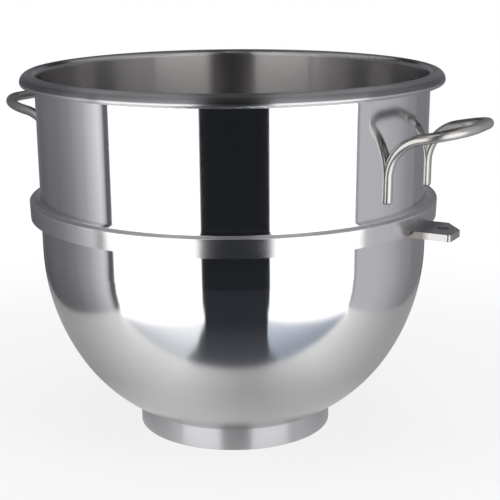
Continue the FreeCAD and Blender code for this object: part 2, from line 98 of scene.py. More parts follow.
# Greys of the dark strip of the room's floor in front of the table, on the way to the camera.
MIDDLE_FLOOR_STOPS = ((0.5, "4A4C52"), (0.9, "44464C"), (1.5, "2C2E34"))
BACK_CLOTH_GREY = "606064"
ROOM_WALL_GREY = "1C1E22"

# The two sides of the studio. way is the side that it lies on. The white panel has its inner edge's
# place, how far that edge leans, and the heights of its lower corners. The cloth has the share of
# its brightness left at the table and its greys on the way to the camera. The room's floor has its
# greys on the way to the camera and its plan.
LEFT_SIDE = {
    "way": -1,
    "panel_inner": 0.231,
    "panel_lean": -0.008,
    "panel_low": (-0.213, -0.627),
    "cloth_at_foot": 0.66,
    "cloth_stops": (
        (-1.2, "6C6C70"),
        (-0.33, "5A5A5E"),
        (-0.03, "717175"),
        (0.06, "838387"),
        (0.15, "A6A6A9"),
        (0.24, "DDDDE0"),
        (0.262, "BCBCBF"),
        (0.271, "5C5C60"),
        (0.29, "5C5C60"),
    ),
    "floor_stops": (
        (0.4, "A2A5AA"),
        (0.6, "B4B7BC"),
        (0.8, "C8CBD0"),
        (1.0, "E0E2E6"),
        (1.3, "F4F5F8"),
    ),
    "floor_plan": (
        (-0.56, -0.3),
        (-0.47, -0.6),
        (-0.42, -0.95),
        (-0.46, -1.55),
        (-0.56, -1.9),
        (-2.6, -1.9),
        (-2.6, 0.0),
    ),
}
RIGHT_SIDE = {
    "way": 1,
    "panel_inner": 0.249,
    "panel_lean": 0.012,
    "panel_low": (-0.218, -0.58),
    "cloth_at_foot": 1.0,
    "cloth_stops": (
        (-1.2, "6A6A6E"),
        (-0.33, "6C6C70"),
        (-0.15, "747478"),
        (-0.03, "8A8A8E"),
        (0.06, "A2A2A6"),
        (0.15, "B0B0B4"),
        (0.283, "B2B2B6"),
        (0.29, "8A8A8D"),
    ),
    "floor_stops": (
        (0.4, "767C88"),
        (0.6, "848B97"),
        (0.8, "929AA6"),
        (1.0, "A8B0BC"),
        (1.3, "C0C8D2"),
    ),
    "floor_plan": (
        (0.5, -0.3),
        (0.42, -0.6),
        (0.37, -0.85),
        (0.42, -1.15),
        (0.57, -1.65),
        (0.63, -1.9),
        (2.6, -1.9),
        (2.6, 0.0),
    ),
}
CLOTH_BACK_DEPTH = -LEFT_SIDE["cloth_stops"][0][0]

# The pale table's faint grain, and the share of its radius at which the table starts to fade.
FLOOR_GRAIN_COLOUR, FLOOR_GRAINS_PER_METRE = "DDDBDA", 60.0
FLOOR_FADE_SHARE = 0.5
# How much of the table's brightness is its own, to the camera and to the metal.
FLOOR_GLOW_IN_PICTURE, FLOOR_GLOW_IN_METAL = 0.8, 0.42
# In the metal the table brightens this fast towards the panels, as an exponent per metre.
TABLE_GLOW_RISE = 5.2
# The bowl's shade on the table: its middle, its inner and outer half widths, the glow at each.
SHADE_MIDDLE, SHADE_HALF_WIDTHS, SHADE_GLOWS = 0.03, (0.02, 0.16), (0.17, 0.46)
# Light that the foot throws back on the table: the distances between which it fades, and its glow.
FOOT_GLOW_REACH, FOOT_GLOW = (0.12, 0.22), 0.7
# Brightness of the air as a lamp. Where it is seen itself it is white.
AIR_LIGHT = 0.35

# The point over the bowl's foot that the lamps are aimed at.
LAMPS_AIM = Vector((0, 0, 0.2))


def linear(hex_colour):
    """An sRGB hex colour as the linear RGBA that a shader takes."""
    parts = [int(hex_colour[i:i + 2], 16) / 255 for i in (0, 2, 4)]
    return (*[c / 12.92 if c <= 0.04045 else ((c + 0.055) / 1.055) ** 2.4 for c in parts], 1.0)


def add_node(tree, kind, settings=None, inputs=None):
    """Adds a node with its settings and its inputs, each a value or the socket that feeds it."""
    node = tree.nodes.new(kind)
    for name, value in (settings or {}).items():
        setattr(node, name, value)
    for key, value in (inputs or {}).items():
        if isinstance(value, bpy.types.NodeSocket):
            tree.links.new(value, node.inputs[key])
        else:
            node.inputs[key].default_value = value
    return node


def new_material(name):
    """An empty material and its node tree."""
    material = bpy.data.materials.new(name)
    material.use_nodes = True
    material.node_tree.nodes.clear()
    return material, material.node_tree


def give_finish(node_name, material):
    """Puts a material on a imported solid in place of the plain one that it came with."""
    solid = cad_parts[node_name]
    for slot in solid.material_slots:
        slot.material = material


def ramp_along(tree, way, stops):
    """The colour that the stops give at a place along a way, each stop a place and its hex."""
    first, last = stops[0][0], stops[-1][0]
    along = add_node(
        tree, "ShaderNodeMapRange", inputs={0: way, 1: first, 2: last, 3: 0.0, 4: 1.0}
    )
    ramp = add_node(tree, "ShaderNodeValToRGB", inputs={0: along.outputs[0]})
    marks = ramp.color_ramp.elements
    for where, colour in stops[1:-1]:
        marks.new((where - first) / (last - first)).color = linear(colour)
    marks[0].color = linear(stops[0][1])
    marks[-1].color = linear(stops[-1][1])
    return ramp.outputs[0]


def from_the_axis(tree):
    """The way straight out from the bowl's upright axis, and the distance from it."""
    place = add_node(tree, "ShaderNodeTexCoord").outputs["Object"]
    flat = add_node(
        tree,
        "ShaderNodeVectorMath",
        {"operation": "MULTIPLY"},
        {0: place, 1: (1.0, 1.0, 0.0)},
    ).outputs[0]
    outward = add_node(tree, "ShaderNodeVectorMath", {"operation": "NORMALIZE"}, {0: flat})
    reach = add_node(tree, "ShaderNodeVectorMath", {"operation": "LENGTH"}, {0: flat})
    return outward.outputs[0], reach.outputs["Value"]


def turning_marks(tree, across_mm, along_m):
    """Noise that runs long round the bowl's axis and short up it, as marks of turning do.

    across_mm is the pitch of the marks up the bowl and along_m their length round it. The height,
    the way straight out from the axis and the distance from it come with the noise."""
    place = add_node(tree, "ShaderNodeTexCoord").outputs["Object"]
    height = add_node(tree, "ShaderNodeSeparateXYZ", inputs={0: place}).outputs[2]
    outward, reach = from_the_axis(tree)
    round_it = add_node(
        tree,
        "ShaderNodeVectorMath",
        {"operation": "SCALE"},
        {0: outward, "Scale": WALL_RADIUS / along_m},
    )
    climb = add_node(tree, "ShaderNodeMath", {"operation": "ADD"}, {0: height, 1: reach})
    fine = add_node(
        tree,
        "ShaderNodeMath",
        {"operation": "MULTIPLY"},
        {0: climb.outputs[0], 1: 1 / (across_mm * MM)},
    )
    up = add_node(tree, "ShaderNodeCombineXYZ", inputs={2: fine.outputs[0]})
    both = add_node(
        tree,
        "ShaderNodeVectorMath",
        {"operation": "ADD"},
        {0: round_it.outputs[0], 1: up.outputs[0]},
    )
    marks = add_node(
        tree, "ShaderNodeTexNoise", inputs={"Vector": both.outputs[0], "Scale": 1.0, "Detail": 2.0}
    )
    return marks.outputs[0], height, outward, reach


def even_rim_line(tree, normal, outward, reach, height):
    """The normal, turned evenly along the rim's outermost line.

    There the mesh's normals tip down between two arcs, and so would show as a row of dashes."""
    tip = add_node(
        tree,
        "ShaderNodeMapRange",
        inputs={
            0: height,
            1: RIM_LINE - RIM_LINE_HALF,
            2: RIM_LINE + RIM_LINE_HALF,
            3: -RIM_LINE_TIP,
            4: RIM_LINE_TIP,
        },
    )
    tip = add_node(tree, "ShaderNodeCombineXYZ", inputs={2: tip.outputs[0]})
    even = add_node(
        tree, "ShaderNodeVectorMath", {"operation": "ADD"}, {0: outward, 1: tip.outputs[0]}
    )
    even = add_node(tree, "ShaderNodeVectorMath", {"operation": "NORMALIZE"}, {0: even.outputs[0]})
    off_middle = add_node(
        tree, "ShaderNodeMath", {"operation": "SUBTRACT"}, {0: height, 1: RIM_LINE}
    )
    off_middle = add_node(
        tree, "ShaderNodeMath", {"operation": "ABSOLUTE"}, {0: off_middle.outputs[0]}
    )
    between = add_node(
        tree,
        "ShaderNodeMath",
        {"operation": "LESS_THAN"},
        {0: off_middle.outputs[0], 1: RIM_LINE_HALF},
    )
    outermost = add_node(
        tree, "ShaderNodeMath", {"operation": "GREATER_THAN"}, {0: reach, 1: RIM_LINE_RADIUS}
    )
    at_line = add_node(
        tree,
        "ShaderNodeMath",
        {"operation": "MULTIPLY"},
        {0: between.outputs[0], 1: outermost.outputs[0]},
    )
    mixed = add_node(
        tree,
        "ShaderNodeMix",
        {"data_type": "VECTOR"},
        {0: at_line.outputs[0], 4: normal, 5: even.outputs[0]},
    )
    return mixed.outputs[1]


def spun_polished_steel(sizes):
    """Stainless steel sheet, spun on a lathe, mirror polished outside and left brushed inside.

    Gives the eye near-mirror walls that dull to satin under the belly, with hairlines round it."""
    material, tree = new_material("spun_polished_stainless_steel")
    hairline, height, outward, reach = turning_marks(tree, sizes.hairline_pitch, SHEET_HAIRLINE)
    normal = add_node(tree, "ShaderNodeNewGeometry").outputs["Normal"]
    normal = even_rim_line(tree, normal, outward, reach, height)
    upturn = add_node(tree, "ShaderNodeSeparateXYZ", inputs={0: normal}).outputs[2]

    polish = add_node(
        tree,
        "ShaderNodeMapRange",
        {"interpolation_type": "SMOOTHSTEP"},
        {
            0: height,
            1: BELLY_SATIN,
            2: BELLY_MIRROR,
            3: sizes.base_roughness,
            4: sizes.wall_roughness,
        },
    )
    # A face is inside where it looks towards the axis, or straight up as the bottom does.
    away = add_node(
        tree, "ShaderNodeVectorMath", {"operation": "DOT_PRODUCT"}, {0: normal, 1: outward}
    )
    inward = add_node(
        tree,
        "ShaderNodeMath",
        {"operation": "LESS_THAN"},
        {0: away.outputs["Value"], 1: INSIDE_UNDER},
    )
    upward = add_node(
        tree, "ShaderNodeMath", {"operation": "GREATER_THAN"}, {0: upturn, 1: BOTTOM_OVER}
    )
    low = add_node(
        tree, "ShaderNodeMath", {"operation": "LESS_THAN"}, {0: height, 1: BOTTOM_BELOW}
    )
    bottom = add_node(
        tree, "ShaderNodeMath", {"operation": "MULTIPLY"}, {0: upward.outputs[0], 1: low.outputs[0]}
    )
    inside = add_node(
        tree,
        "ShaderNodeMath",
        {"operation": "MAXIMUM"},
        {0: inward.outputs[0], 1: bottom.outputs[0]},
    )
    # The rolled rim is left satin, and the edge tucked under it is not polished at all.
    at_rim = add_node(
        tree,
        "ShaderNodeMapRange",
        {"interpolation_type": "SMOOTHSTEP"},
        {0: height, 1: RIM_FROM, 2: RIM_FULL, 3: 0.0, 4: 1.0},
    )
    downward = add_node(
        tree,
        "ShaderNodeMapRange",
        inputs={0: upturn, 1: TUCKED_FROM, 2: TUCKED_FULL, 3: 0.0, 4: 1.0},
    )
    over_wall = add_node(
        tree, "ShaderNodeMath", {"operation": "GREATER_THAN"}, {0: height, 1: WALL_TOP}
    )
    tucked = add_node(
        tree,
        "ShaderNodeMath",
        {"operation": "MULTIPLY"},
        {0: downward.outputs[0], 1: over_wall.outputs[0]},
    )
    for where, finish in (
        (at_rim, sizes.rim_roughness),
        (tucked, sizes.tucked_roughness),
        (inside, sizes.inside_roughness),
    ):
        polish = add_node(
            tree,
            "ShaderNodeMix",
            {"data_type": "FLOAT"},
            {0: where.outputs[0], 2: polish.outputs[0], 3: finish},
        )
    streak = add_node(
        tree,
        "ShaderNodeMapRange",
        inputs={
            0: hairline,
            1: NOISE_LOW,
            2: NOISE_HIGH,
            3: 1 - SHEET_MARKS,
            4: 1 + SHEET_MARKS,
        },
    )
    rough = add_node(
        tree,
        "ShaderNodeMath",
        {"operation": "MULTIPLY"},
        {0: polish.outputs[0], 1: streak.outputs[0]},
    )
    # Painted dark reflection: the rim's flank, where its faces tip partly up, is coloured darker
    # than the steel under it and the rim's top. Each mark is how far the face looks up, and its
    # colour.
    rim_marks = (
        (-1.0, sizes.steel_colour),
        (0.02, sizes.steel_colour),
        (0.16, sizes.dark_flank_reflection_colour),
        (0.6, sizes.dark_flank_reflection_colour),
        (0.85, sizes.rim_colour),
        (1.0, sizes.rim_colour),
    )
    colour = add_node(
        tree,
        "ShaderNodeMix",
        {"data_type": "RGBA"},
        {
            0: at_rim.outputs[0],
            6: linear(sizes.steel_colour),
            7: ramp_along(tree, upturn, rim_marks),
        },
    )
    colour = add_node(
        tree,
        "ShaderNodeMix",
        {"data_type": "RGBA"},
        {0: inside.outputs[0], 6: colour.outputs[2], 7: linear(sizes.inside_colour)},
    )
    tangent = add_node(tree, "ShaderNodeTangent", {"direction_type": "RADIAL", "axis": "Z"})
    metal = add_node(
        tree,
        "ShaderNodeBsdfPrincipled",
        inputs={
            "Base Color": colour.outputs[2],
            "Metallic": 1.0,
            "Roughness": rough.outputs[0],
            "Anisotropic": 1.0,
            "Anisotropic Rotation": sizes.grain_turn,
            "Tangent": tangent.outputs[0],
            "Normal": normal,
        },
    )
    add_node(tree, "ShaderNodeOutputMaterial", inputs={0: metal.outputs[0]})
    return material


def turned_steel(name, sizes, roughness, pitch_mm, colour, anisotropy, shoulder=None):
    """Stainless steel bar, turned or ground round the bowl's axis, with its hairlines round it.

    shoulder gives two heights in metres: from the first on the bar is left as ground, and duller,
    and from the second on its weld to the wall is polished with the wall."""
    material, tree = new_material(name)
    hairline, height, outward, _ = turning_marks(tree, pitch_mm, BAR_HAIRLINE)
    rough = add_node(
        tree,
        "ShaderNodeMapRange",
        inputs={
            0: hairline,
            1: NOISE_LOW,
            2: NOISE_HIGH,
            3: roughness * (1 - BAR_MARKS),
            4: roughness * (1 + BAR_MARKS),
        },
    )
    tangent = add_node(tree, "ShaderNodeTangent", {"direction_type": "RADIAL", "axis": "Z"})
    metal = add_node(
        tree,
        "ShaderNodeBsdfPrincipled",
        inputs={
            "Base Color": linear(colour),
            "Metallic": 1.0,
            "Anisotropic": anisotropy,
            "Anisotropic Rotation": sizes.grain_turn,
            "Tangent": tangent.outputs[0],
        },
    )
    if shoulder is not None:
        at_shoulder, at_weld = [
            add_node(
                tree,
                "ShaderNodeMapRange",
                inputs={0: height, 1: start - BAND_BLEND, 2: start + BAND_BLEND, 3: 0.0, 4: 1.0},
            )
            for start in shoulder
        ]
        for where, finish in (
            (at_shoulder, sizes.shoulder_roughness),
            (at_weld, sizes.wall_roughness),
        ):
            rough = add_node(
                tree,
                "ShaderNodeMix",
                {"data_type": "FLOAT"},
                {0: where.outputs[0], 2: rough.outputs[0], 3: finish},
            )
        # The dressed weld runs into the wall in a soft hollow, and so it reflects as the wall does.
        normal = add_node(tree, "ShaderNodeNewGeometry").outputs["Normal"]
        leaning = add_node(
            tree,
            "ShaderNodeMix",
            {"data_type": "VECTOR"},
            {0: at_weld.outputs[0], 4: normal, 5: outward},
        )
        tree.links.new(leaning.outputs[1], metal.inputs["Normal"])
    tree.links.new(rough.outputs[0], metal.inputs["Roughness"])
    add_node(tree, "ShaderNodeOutputMaterial", inputs={0: metal.outputs[0]})
    return material


def buffed_steel(name, roughness, scuff_mm, colour, root_shade_colour=None):
    """Stainless steel buffed by hand, so that its fine scuffs run every way.

    The last colour, where given, is painted shade that darkens the plate near its root at the band."""
    material, tree = new_material(name)
    place = add_node(tree, "ShaderNodeTexCoord").outputs["Object"]
    scuff = add_node(
        tree,
        "ShaderNodeTexNoise",
        inputs={"Vector": place, "Scale": 1 / (scuff_mm * MM), "Detail": 4.0},
    )
    rough = add_node(
        tree,
        "ShaderNodeMapRange",
        inputs={
            0: scuff.outputs[0],
            1: NOISE_LOW,
            2: NOISE_HIGH,
            3: roughness * (1 - SCUFF_MARKS),
            4: roughness * (1 + SCUFF_MARKS),
        },
    )
    metal = add_node(
        tree,
        "ShaderNodeBsdfPrincipled",
        inputs={"Base Color": linear(colour), "Metallic": 1.0, "Roughness": rough.outputs[0]},
    )
    # Painted shade: the plate darkens towards its root, where it meets the band.
    if root_shade_colour is not None:
        parts = add_node(tree, "ShaderNodeSeparateXYZ", inputs={0: place})
        out = add_node(tree, "ShaderNodeMath", {"operation": "ABSOLUTE"}, {0: parts.outputs[0]})
        past = add_node(
            tree,
            "ShaderNodeMapRange",
            inputs={0: out.outputs[0], 1: ROOT_SHADE_FADES, 2: ROOT_SHADE_ENDS, 3: 0.0, 4: 1.0},
        )
        shown = add_node(
            tree,
            "ShaderNodeMix",
            {"data_type": "RGBA"},
            {0: past.outputs[0], 6: linear(root_shade_colour), 7: linear(colour)},
        )
        tree.links.new(shown.outputs[2], metal.inputs["Base Color"])
    add_node(tree, "ShaderNodeOutputMaterial", inputs={0: metal.outputs[0]})
    return material


class BowlSizes(bpy.types.PropertyGroup):
    """Finishes of the bowl."""

    steel_colour: StringProperty(
        name="Steel colour",
        description="Polished steel outside, as sRGB hex",
        default="C7C7C8",
    )
    inside_colour: StringProperty(
        name="Inside colour",
        description="Brushed steel inside, as sRGB hex",
        default="C6C3C2",
    )
    rim_colour: StringProperty(
        name="Rim colour",
        description="Duller steel of the rolled rim, as sRGB hex",
        default="A2A2A4",
    )
    # Painted dark reflection on the rim's flank, between its top and the bright wall.
    dark_flank_reflection_colour: StringProperty(
        name="Ring colour",
        description="Dull ring on the rim's flank, as sRGB hex",
        default="7A7A7C",
    )
    wall_roughness: FloatProperty(
        name="Wall roughness",
        description="Mirror polish of the wall",
        default=0.09,
        min=0,
        max=1,
        subtype="FACTOR",
    )
    base_roughness: FloatProperty(
        name="Base roughness",
        description="Satin under the belly",
        default=0.17,
        min=0,
        max=1,
        subtype="FACTOR",
    )
    rim_roughness: FloatProperty(
        name="Rim roughness",
        description="Satin of the rolled rim",
        default=0.38,
        min=0,
        max=1,
        subtype="FACTOR",
    )
    tucked_roughness: FloatProperty(
        name="Tucked edge roughness",
        description="Unpolished edge under the rim",
        default=0.5,
        min=0,
        max=1,
        subtype="FACTOR",
    )
    inside_roughness: FloatProperty(
        name="Inside roughness",
        description="Brushed inside faces",
        default=0.25,
        min=0,
        max=1,
        subtype="FACTOR",
    )
    shoulder_roughness: FloatProperty(
        name="Shoulder roughness",
        description="Band's shoulder as ground",
        default=0.44,
        min=0,
        max=1,
        subtype="FACTOR",
    )
    hairline_pitch: FloatProperty(
        name="Hairline pitch",
        description="Spacing of the turning marks in millimetres, coarser than real so it shows",
        default=2.5,
        min=0.1,
    )
    grain_turn: FloatProperty(
        name="Grain turn",
        description="Turn of the polishing grain, as a share of a whole turn",
        default=0.25,
    )


class StudioSizes(bpy.types.PropertyGroup):
    """Floor, surround and lamps."""

    floor_radius: FloatProperty(
        name="Floor radius",
        description="Where the floor has faded out",
        default=0.95,
        unit="LENGTH",
    )
    floor_colour: StringProperty(
        name="Floor colour",
        description="Pale floor, as sRGB hex",
        default="D9D7D5",
    )
    panel_strength: FloatProperty(
        name="Panel strength",
        description="Brightness of the white panels in front",
        default=2.2,
        min=0,
    )
    panel_top: FloatProperty(
        name="Panel top",
        description="Height of the white panels over the table",
        default=0.75,
        unit="LENGTH",
    )
    roof_strength: FloatProperty(
        name="Roof panel strength",
        description="Brightness of the panels overhead",
        default=1.6,
        min=0,
    )
    cloth_strength: FloatProperty(
        name="Cloth strength",
        description="Brightness of the cloth, the room and its floor",
        default=1.65,
        min=0,
    )
    cloth_top: FloatProperty(
        name="Cloth top",
        description="Height of the cloth over the table",
        default=0.9,
        unit="LENGTH",
    )
    side_lamp_power: FloatProperty(
        name="Side lamps",
        description="Power of each side lamp",
        default=30.0,
        unit="POWER",
    )
    top_lamp_power: FloatProperty(
        name="Top lamp",
        description="Power of the lamp overhead",
        default=35.0,
        unit="POWER",
    )


class MIXERBOWL_OT_shell(bpy.types.Operator):
    """Finishes the spun shell with its rolled rim"""

    bl_idname = "mixer_bowl.shell"
    bl_label = "Spun shell"

    def execute(self, context):
        give_finish("bowl_shell", spun_polished_steel(context.scene.bowl_sizes))
        return {"FINISHED"}


class MIXERBOWL_OT_band(bpy.types.Operator):
    """Finishes the support band round the wall"""

    bl_idname = "mixer_bowl.band"
    bl_label = "Support band"

    def execute(self, context):
        sizes = context.scene.bowl_sizes
        # Rolled flat bar, polished after welding: nearly as bright as the wall.
        material = turned_steel(
            "polished_flat_bar_steel",
            sizes,
            roughness=0.25,
            pitch_mm=2.0,
            colour=sizes.steel_colour,
            anisotropy=0.85,
            shoulder=BAND_SHOULDER,
        )
        give_finish("support_band", material)
        return {"FINISHED"}


class MIXERBOWL_OT_foot(bpy.types.Operator):
    """Finishes the ring that the bowl stands on"""

    bl_idname = "mixer_bowl.foot"
    bl_label = "Foot ring"

    def execute(self, context):
        sizes = context.scene.bowl_sizes
        # Ground with a fine belt: satin, with its lines round the ring.
        material = turned_steel(
            "satin_ground_ring_steel",
            sizes,
            roughness=0.37,
            pitch_mm=1.5,
            colour="CFCFD2",
            anisotropy=1.0,
        )
        give_finish("foot_ring", material)
        return {"FINISHED"}


class MIXERBOWL_OT_handles(bpy.types.Operator):
    """Finishes the two bent rod handles"""

    bl_idname = "mixer_bowl.handles"
    bl_label = "Rod handles"

    def execute(self, context):
        # Bright drawn rod, buffed by hand: a soft satin that blurs what it reflects.
        material = buffed_steel(
            "buffed_bright_rod_steel", roughness=0.3, scuff_mm=1.5, colour="B2B0AD"
        )
        for handle in ("handle_a", "handle_b"):
            give_finish(handle, material)
        return {"FINISHED"}


class MIXERBOWL_OT_lugs(bpy.types.Operator):
    """Finishes the two locating lugs under the handles"""

    bl_idname = "mixer_bowl.lugs"
    bl_label = "Locating lugs"

    def execute(self, context):
        # Cut plate, its faces and edges dressed with an abrasive wheel: darker, with painted shade
        # at its root by the band.
        material = buffed_steel(
            "ground_plate_steel", roughness=0.2, scuff_mm=1.2, colour="A6A6A6", root_shade_colour="686562"
        )
        for lug in ("locating_lug_a", "locating_lug_b"):
            give_finish(lug, material)
        return {"FINISHED"}


def pale_background_rays(tree):
    """One for rays that see the pale background, from the camera, a polish or a glass."""
    path = add_node(tree, "ShaderNodeLightPath")
    first = add_node(
        tree,
        "ShaderNodeMath",
        {"operation": "ADD"},
        {0: path.outputs["Is Camera Ray"], 1: path.outputs["Is Glossy Ray"]},
    )
    both = add_node(
        tree,
        "ShaderNodeMath",
        {"operation": "ADD", "use_clamp": True},
        {0: first.outputs[0], 1: path.outputs["Is Transmission Ray"]},
    )
    return both.outputs[0]


def table_glow(tree, parts, reach):
    """How bright the table is in the metal.

    It is brighter towards the panels, darker in the bowl's shade and bright again by the foot."""
    nearer = add_node(
        tree,
        "ShaderNodeMath",
        {"operation": "MULTIPLY"},
        {0: parts.outputs[1], 1: -TABLE_GLOW_RISE},
    )
    nearer = add_node(tree, "ShaderNodeMath", {"operation": "EXPONENT"}, {0: nearer.outputs[0]})
    beside_shade = add_node(
        tree, "ShaderNodeMath", {"operation": "SUBTRACT"}, {0: parts.outputs[0], 1: SHADE_MIDDLE}
    )
    beside_shade = add_node(
        tree, "ShaderNodeMath", {"operation": "ABSOLUTE"}, {0: beside_shade.outputs[0]}
    )
    shade = add_node(
        tree,
        "ShaderNodeMapRange",
        inputs={
            0: beside_shade.outputs[0],
            1: SHADE_HALF_WIDTHS[0],
            2: SHADE_HALF_WIDTHS[1],
            3: SHADE_GLOWS[0],
            4: SHADE_GLOWS[1],
        },
    )
    by_foot = add_node(
        tree,
        "ShaderNodeMapRange",
        inputs={0: reach, 1: FOOT_GLOW_REACH[0], 2: FOOT_GLOW_REACH[1], 3: FOOT_GLOW, 4: 0.0},
    )
    glow = add_node(
        tree,
        "ShaderNodeMath",
        {"operation": "MULTIPLY_ADD"},
        {0: nearer.outputs[0], 1: shade.outputs[0], 2: by_foot.outputs[0]},
    )
    return glow.outputs[0]


def floor_finish(studio):
    """Matt pale paint. It fades out far off, and polish sees it only up to the table's edges."""
    material, tree = new_material("matt_pale_table_paint")
    place = add_node(tree, "ShaderNodeTexCoord").outputs["Object"]
    parts = add_node(tree, "ShaderNodeSeparateXYZ", inputs={0: place})
    reach = add_node(tree, "ShaderNodeVectorMath", {"operation": "LENGTH"}, {0: place})
    reach = reach.outputs["Value"]
    path = add_node(tree, "ShaderNodeLightPath")
    in_picture, in_metal = path.outputs["Is Camera Ray"], path.outputs["Is Glossy Ray"]

    grain = add_node(
        tree,
        "ShaderNodeTexNoise",
        inputs={"Vector": place, "Scale": FLOOR_GRAINS_PER_METRE, "Detail": 3.0},
    )
    tone = add_node(
        tree,
        "ShaderNodeMix",
        {"data_type": "RGBA"},
        {0: grain.outputs[0], 6: linear(studio.floor_colour), 7: linear(FLOOR_GRAIN_COLOUR)},
    )
    matt = add_node(tree, "ShaderNodeBsdfDiffuse", inputs={"Color": tone.outputs[2]})

    # The camera sees the table's own glow as white, and the metal sees it graded.
    glow = add_node(
        tree,
        "ShaderNodeMix",
        {"data_type": "FLOAT"},
        {0: in_picture, 2: table_glow(tree, parts, reach), 3: 1.0},
    )
    white = add_node(
        tree,
        "ShaderNodeEmission",
        inputs={"Color": (1, 1, 1, 1), "Strength": glow.outputs[0]},
    )
    to_camera = add_node(
        tree, "ShaderNodeMath", {"operation": "MULTIPLY"}, {0: in_picture, 1: FLOOR_GLOW_IN_PICTURE}
    )
    to_metal = add_node(
        tree, "ShaderNodeMath", {"operation": "MULTIPLY"}, {0: in_metal, 1: FLOOR_GLOW_IN_METAL}
    )
    share = add_node(
        tree,
        "ShaderNodeMath",
        {"operation": "ADD"},
        {0: to_camera.outputs[0], 1: to_metal.outputs[0]},
    )
    lit = add_node(
        tree,
        "ShaderNodeMixShader",
        inputs={0: share.outputs[0], 1: matt.outputs[0], 2: white.outputs[0]},
    )

    far = add_node(
        tree,
        "ShaderNodeMapRange",
        {"interpolation_type": "SMOOTHSTEP"},
        {
            0: reach,
            1: studio.floor_radius * FLOOR_FADE_SHARE,
            2: studio.floor_radius,
            3: 0.0,
            4: 1.0,
        },
    )
    before = add_node(
        tree,
        "ShaderNodeMapRange",
        inputs={
            0: parts.outputs[1],
            1: -TABLE_EDGE - TABLE_EDGE_FADE,
            2: -TABLE_EDGE,
            3: 1.0,
            4: 0.0,
        },
    )
    sideways = add_node(tree, "ShaderNodeMath", {"operation": "ABSOLUTE"}, {0: parts.outputs[0]})
    beside = add_node(
        tree,
        "ShaderNodeMath",
        {"operation": "GREATER_THAN"},
        {0: sideways.outputs[0], 1: TABLE_HALF_WIDTH},
    )
    off_table = add_node(
        tree,
        "ShaderNodeMath",
        {"operation": "MAXIMUM"},
        {0: before.outputs[0], 1: beside.outputs[0]},
    )
    off_table = add_node(
        tree, "ShaderNodeMath", {"operation": "MULTIPLY"}, {0: off_table.outputs[0], 1: in_metal}
    )
    gone = add_node(
        tree,
        "ShaderNodeMath",
        {"operation": "MAXIMUM"},
        {0: far.outputs[0], 1: off_table.outputs[0]},
    )
    clear = add_node(tree, "ShaderNodeBsdfTransparent")
    ends = add_node(
        tree,
        "ShaderNodeMixShader",
        inputs={0: gone.outputs[0], 1: lit.outputs[0], 2: clear.outputs[0]},
    )
    add_node(tree, "ShaderNodeOutputMaterial", inputs={0: ends.outputs[0]})
    return material


def glowing(name, colour, strength):
    """A studio surface seen only in the polish, as bright as it looks there."""
    material, tree = new_material(name)
    glow = add_node(
        tree, "ShaderNodeEmission", inputs={"Color": linear(colour), "Strength": strength}
    )
    add_node(tree, "ShaderNodeOutputMaterial", inputs={0: glow.outputs[0]})
    return material


def graded(name, stops, strength, axis="Y", at_foot=1.0):
    """A studio surface seen only in the polish, with its greys set along one way.

    Y runs towards the camera, X to either side of it, the same on both sides, and Z up.
    at_foot is the share of its brightness that is left at the height of the table."""
    material, tree = new_material(name)
    place = add_node(tree, "ShaderNodeTexCoord").outputs["Object"]
    parts = add_node(tree, "ShaderNodeSeparateXYZ", inputs={0: place})
    if axis == "Y":
        way = add_node(
            tree, "ShaderNodeMath", {"operation": "MULTIPLY"}, {0: parts.outputs[1], 1: -1.0}
        ).outputs[0]
    elif axis == "X":
        way = add_node(
            tree, "ShaderNodeMath", {"operation": "ABSOLUTE"}, {0: parts.outputs[0]}
        ).outputs[0]
    else:
        way = parts.outputs[2]
    if at_foot < 1.0:
        strength = add_node(
            tree,
            "ShaderNodeMapRange",
            inputs={0: parts.outputs[2], 1: 0.0, 2: CLOTH_FOOT, 3: at_foot * strength, 4: strength},
        ).outputs[0]
    glow = add_node(
        tree,
        "ShaderNodeEmission",
        inputs={"Color": ramp_along(tree, way, stops), "Strength": strength},
    )
    add_node(tree, "ShaderNodeOutputMaterial", inputs={0: glow.outputs[0]})
    return material


def link_mesh(name, corners, faces, material):
    """Adds an object with the given corners and faces to the scene."""
    mesh = bpy.data.meshes.new(name)
    mesh.from_pydata(corners, [], faces)
    mesh.update()
    thing = bpy.data.objects.new(name, mesh)
    mesh.materials.append(material)
    bpy.context.scene.collection.objects.link(thing)
    return thing


def ring(radius, count):
    """Points evenly spaced round a circle, in plan."""
    turns = [math.tau * i / count for i in range(count)]
    return [(radius * math.cos(turn), radius * math.sin(turn)) for turn in turns]


def level(name, plan, height, material):
    """A level sheet between points of the studio's plan."""
    return link_mesh(name, [(x, y, height) for x, y in plan], [list(range(len(plan)))], material)


def disc(name, radius, height, material):
    """A level round sheet."""
    return level(name, ring(radius, DISC_CORNERS), height, material)


def upright(name, start, end, low, high, material):
    """A standing sheet between two points of the studio's plan."""
    corners = [(*start, low), (*end, low), (*end, high), (*start, high)]
    return link_mesh(name, corners, [(0, 1, 2, 3)], material)


def tube(name, radius, low, high, material):
    """A standing round wall."""
    plan, count = ring(radius, TUBE_CORNERS), TUBE_CORNERS
    corners = [(x, y, low) for x, y in plan] + [(x, y, high) for x, y in plan]
    faces = [(i, (i + 1) % count, count + (i + 1) % count, count + i) for i in range(count)]
    return link_mesh(name, corners, faces, material)


